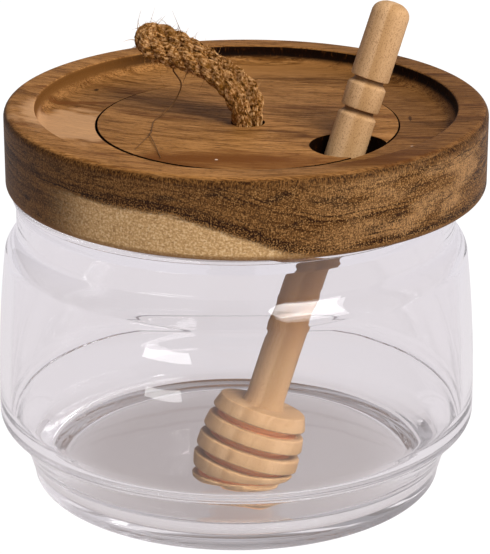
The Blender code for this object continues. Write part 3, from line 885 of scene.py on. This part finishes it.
def dipper_outline():
    """From the domed tip down the shaft and its collar to the ringed head."""
    points = flowing_outline(
        [(0.0, TIP_S), (2.0, TIP_S - 0.25), (3.5, TIP_S - 1.0), (4.3, TIP_S - 1.9),
         (SHAFT_TOP_R, TIP_S - TIP_DOME)], 4)
    points += [
        (SHAFT_TOP_R + 0.03, TIP_S - TIP_DOME - 1.0), (SHAFT_R, COLLAR_TOP_S + GROOVE_WIDTH + 0.6)]
    points += shaft_groove(COLLAR_TOP_S + GROOVE_WIDTH)
    points += [(SHAFT_R, COLLAR_LOW_S + 0.5)]
    points += shaft_groove(COLLAR_LOW_S)
    points += flowing_outline(
        [(SHAFT_R, HEAD_TOP_S + 5.0), (SHAFT_R, HEAD_TOP_S + 2.0), (HEAD_NECK_R, HEAD_TOP_S)], 3)
    for ring in range(HEAD_RINGS):
        top = HEAD_TOP_S - ring * RING_PITCH
        low = top - RING_THICK
        if ring:
            points.append((CORE_R, top))
        points += arc(head_radius(top) - RING_ROUND, top - RING_ROUND, RING_ROUND, 90, 0, 5)
        points.append((head_radius((top + low) / 2), (top + low) / 2))
        if ring < HEAD_RINGS - 1:
            points += arc(head_radius(low) - RING_ROUND, low + RING_ROUND, RING_ROUND, 0, -90, 5)
            points.append((CORE_R, low))
    points += flowing_outline(
        [(HEAD_END_R - 0.15, HEAD_END_S + 3.0), (HEAD_END_R - 0.6, HEAD_END_S + 1.9),
         (HEAD_END_R - 2.3, HEAD_END_S + 0.4), (HEAD_END_R - 4.5, HEAD_END_S)], 4)
    points += [(0.0, HEAD_END_S)]
    return points


def make_dipper():
    """The turned dipper, leaning in its notch."""
    dipper = turned("dipper", dipper_outline(), DIPPER_SEGMENTS)
    settle(dipper, DIPPER_AT, lean_of(DIPPER_LEAN))
    soften(dipper, TURNED_ANGLE)
    dress(dipper, beech(), "honey_dipper")


def framed(line):
    """Each point of a line with its distance along and two ways across, turning as little as can be."""
    across = Vector((0.3, 1.0, 0.1))
    along = 0.0
    frames = []
    for i, point in enumerate(line):
        if i:
            along += (point - line[i - 1]).length
        ahead = (line[min(i + 1, len(line) - 1)] - line[max(i - 1, 0)]).normalized()
        across = (across - ahead * across.dot(ahead)).normalized()
        frames.append((point, along, across, ahead.cross(across)))
    return frames


def wound(frames, start_angle, pitch, distance):
    """A line that winds round another one at a distance, which may change along it."""
    line = []
    for point, along, one, other in frames:
        angle = start_angle + math.tau * along / pitch
        out = distance(point, along)
        line.append(point + (one * math.cos(angle) + other * math.sin(angle)) * out)
    return line


def squeeze(point):
    """How much slimmer the rope is where both its ends go through one hole."""
    height = point.z - RECESS_Z
    slim = ROPE_END_R / ROPE_R
    return slim + (1 - slim) * smooth(height / SQUEEZE_HEIGHT)


def rope_yarns(route):
    """The strands of a rope along a route, each a core under a coat of thin uneven yarns."""
    spine = framed(flowing(route, ROPE_STEPS))
    lines = []
    centres = []
    for strand in range(ROPE_STRANDS):
        angle = math.tau * strand / ROPE_STRANDS
        centre = wound(
            spine, angle, ROPE_PITCH, lambda p, s: (ROPE_R - STRAND_R) * 0.98 * squeeze(p))
        frames = framed(centre)
        centres.append(frames)
        lines.append([(p, 0.9 * STRAND_R * squeeze(p)) for p in centre])
        for yarn in range(YARNS):
            turn = math.tau * (yarn + chance.uniform(-0.35, 0.35)) / YARNS
            thick = YARN_R * chance.uniform(0.7, 1.25)
            sink = chance.uniform(0.72, 1.0)
            wave = chance.uniform(0, math.tau)
            line = wound(
                frames, turn, -YARN_PITCH,
                lambda p, s: (STRAND_R * sink + 0.14 * math.sin(s * 0.9 + wave)) * squeeze(p))
            lines.append([(p, thick * squeeze(p)) for p in line])
    return lines, centres


def fine_fibres(centres, count):
    """Short fibres that lie on the strands and lift off them a little at their ends."""
    lines = []
    for _ in range(count):
        frames = chance.choice(centres)
        length = chance.randint(8, 26)
        first = chance.randint(0, len(frames) - length - 1)
        turn = chance.uniform(0, math.tau)
        pitch = -YARN_PITCH * chance.uniform(0.8, 1.8)
        lift = chance.uniform(0.0, 0.35)
        thick = chance.uniform(0.05, 0.11)
        part = frames[first:first + length]
        line = []
        for k, (point, along, one, other) in enumerate(part):
            t = k / (length - 1)
            angle = turn + math.tau * along / pitch
            out = STRAND_R * squeeze(point) + 0.05 + lift * (2 * t - 1) ** 2
            line.append((point + (one * math.cos(angle) + other * math.sin(angle)) * out,
                         thick * (1 - 0.6 * abs(2 * t - 1) ** 3)))
        lines.append(line)
    return lines


def stray_hairs(centres, count):
    """Hairs that stand off the rope."""
    lines = []
    for _ in range(count):
        frames = chance.choice(centres)
        point, along, one, other = frames[chance.randint(30, len(frames) - 30)]
        angle = chance.uniform(0, math.tau)
        out = one * math.cos(angle) + other * math.sin(angle)
        side = one.cross(other) * chance.uniform(-1.2, 1.2)
        bow = Vector([chance.uniform(-0.6, 0.6) for _ in range(3)])
        reach = chance.uniform(0.9, 3.2) if chance.random() < 0.85 else chance.uniform(3.0, 6.0)
        line = []
        for k in range(HAIR_STEPS + 1):
            t = k / HAIR_STEPS
            line.append((point + out * (STRAND_R * 0.9 + reach * t * 0.6) + side * reach * t
                         + bow * reach * t * t, HAIR_R * (1.2 - t)))
        lines.append(line)
    return lines


def loose_fibres():
    """Fibres that came off the rope: a long one that forks on the plug, and a short one by it."""
    lines = []
    for route, thick in LOOSE_FIBRES:
        points = flowing([PLUG_AT + Vector(p) for p in route], LOOSE_STEPS)
        last = len(points) - 1
        lines.append([(p, thick * (1.0 - 0.55 * i / last)) for i, p in enumerate(points)])
    return lines


def knot_route():
    """The turns of the knot under the plug."""
    route = []
    for k in range(int(KNOT_TURNS * KNOT_STEPS)):
        angle = math.tau * k / KNOT_STEPS
        drop = KNOT_FALL * k / (KNOT_TURNS * KNOT_STEPS)
        route.append(PLUG_AT + Vector((
            KNOT_TURN_R * math.cos(angle), KNOT_TURN_R * math.sin(angle), KNOT_TOP_Z - drop)))
    return route


def make_rope():
    """The rope loop, its knot, the fibres on it and the few that came loose."""
    lines, centres = rope_yarns([Vector(p) + PLUG_AT for p in ROPE_ROUTE])
    knot_lines, _ = rope_yarns(knot_route())
    rope = strands("rope", lines)
    dress(rope, jute(), "rope_handle")
    knot = strands("rope_knot", knot_lines)
    dress(knot, jute())
    hairs = fine_fibres(centres, FINE_FIBRES) + stray_hairs(centres, STRAY_HAIRS)
    fuzz = strands("rope_fibres", hairs, 0)
    dress(fuzz, jute())
    loose = strands("loose_fibres", loose_fibres())
    dark = Finish("dark fibre")
    dress(loose, dark.done(Base_Color=(*FIBRE_DARK, 1.0), Roughness=0.7))


# Stage

def hide_from(piece, *rays):
    """Leaves a stage piece out of some kinds of rays."""
    for ray in rays:
        setattr(piece, "visible_" + ray, False)


def make_stage():
    """A pale grey glowing table with a painted shadow under the jar, and a white sheet over it that only
    the camera sees.
    """
    floor = start(
        "floor", bpy.ops.mesh.primitive_plane_add, size=STAGE_WIDTH, location=(0.0, 0.0, -FLOOR_DROP))
    paint = Finish("pale floor")
    away = paint.add("VectorMath", {0: paint.own((JAR_X, 0.0, 0.0))}, operation="LENGTH")
    away = away.outputs["Value"]
    # painted shadow under the jar in the table's glow
    glow = paint.mix(paint.fade(away, *JAR_SHADOW_SPAN), FLOOR_PAINTED_SHADOW, FLOOR_NEAR)
    glow = paint.mix(paint.fade(away, *FAR_TABLE), glow, FLOOR_FAR)
    floor.data.materials.append(paint.done(
        Base_Color=(0.03, 0.03, 0.03, 1.0), Roughness=0.9, Emission_Color=glow, Emission_Strength=1.0))
    sheet = start(
        "sheet", bpy.ops.mesh.primitive_plane_add, size=STAGE_WIDTH, location=(0.0, 0.0, -SHEET_DROP))
    sheet.data.materials.append(white_glow("white sheet", 1.0))
    hide_from(sheet, "diffuse", "glossy", "transmission", "shadow")


def lay_cards():
    """Bright cards on the table at the front left, only there to shine in the glass."""
    for name, away, turn, width, depth in CARDS:
        card = start(name, bpy.ops.mesh.primitive_plane_add, size=1.0)
        card.scale = (width, depth, 1.0)
        only(card)
        bpy.ops.object.transform_apply(location=False, rotation=False, scale=True)
        turn = math.radians(turn)
        card.location = CARDS_AT - Vector((math.sin(turn), math.cos(turn), 0.0)) * away
        card.rotation_euler.z = -turn
        card.data.materials.append(white_glow(name, CARD_GLOW))
        hide_from(card, "camera", "diffuse", "transmission", "shadow")


def hang_lamps():
    """Soft rectangular lights that face the pot."""
    for name, place, (width, height), power, missed in LAMPS:
        bpy.ops.object.light_add(type="AREA", location=place)
        lamp = bpy.context.object
        lamp.name = name
        lamp.data.shape = "RECTANGLE"
        lamp.data.size = width
        lamp.data.size_y = height
        lamp.data.energy = power
        ahead = Vector(LAMPS_FACE) - Vector(place)
        lamp.rotation_euler = ahead.to_track_quat("-Z", "Y").to_euler()
        hide_from(lamp, missed)


def light_studio():
    """A studio that is bright round the horizon and dimmer overhead and at the left."""
    world = bpy.data.worlds.new("studio")
    bpy.context.scene.world = world
    world.use_nodes = True
    tree = world.node_tree
    air = tree.nodes["Background"]
    air.inputs["Strength"].default_value = 1.0
    way = tree.nodes.new("ShaderNodeTexCoord")
    parts = tree.nodes.new("ShaderNodeSeparateXYZ")
    tree.links.new(way.outputs["Generated"], parts.inputs[0])
    height = tree.nodes.new("ShaderNodeValToRGB")
    tree.links.new(parts.outputs["Z"], height.inputs["Fac"])
    low, high = height.color_ramp.elements
    low.position = HORIZON_UP_TO
    low.color = (*HORIZON, 1.0)
    high.position = OVERHEAD_FROM
    high.color = (*OVERHEAD, 1.0)
    side = tree.nodes.new("ShaderNodeMapRange")
    tree.links.new(parts.outputs["X"], side.inputs["Value"])
    side.inputs["From Min"].default_value = DIM_FROM
    side.inputs["From Max"].default_value = DIM_TO
    side.inputs["To Min"].default_value = LEFT_DIM
    dimmed = tree.nodes.new("ShaderNodeVectorMath")
    dimmed.operation = "SCALE"
    tree.links.new(height.outputs["Color"], dimmed.inputs[0])
    tree.links.new(side.outputs[0], dimmed.inputs["Scale"])
    tree.links.new(dimmed.outputs[0], air.inputs["Color"])


def set_camera():
    """The camera, placed as the ellipses of the lid and the foot give it."""
    bpy.ops.object.camera_add(
        location=CAMERA_AT, rotation=(math.radians(90 - CAMERA_DOWN), 0.0, 0.0))
    camera = bpy.context.object
    camera.data.lens = LENS
    camera.data.sensor_width = SENSOR_WIDTH
    camera.data.clip_start = CLIP_START
    scene = bpy.context.scene
    scene.camera = camera
    scene.view_settings.view_transform = "Standard"
    scene.cycles.max_bounces = BOUNCES
    scene.cycles.transmission_bounces = BOUNCES
    scene.cycles.glossy_bounces = BOUNCES


make_jar()
make_ring()
make_plug()
make_dipper()
make_rope()
make_stage()
lay_cards()
light_studio()
hang_lamps()
set_camera()
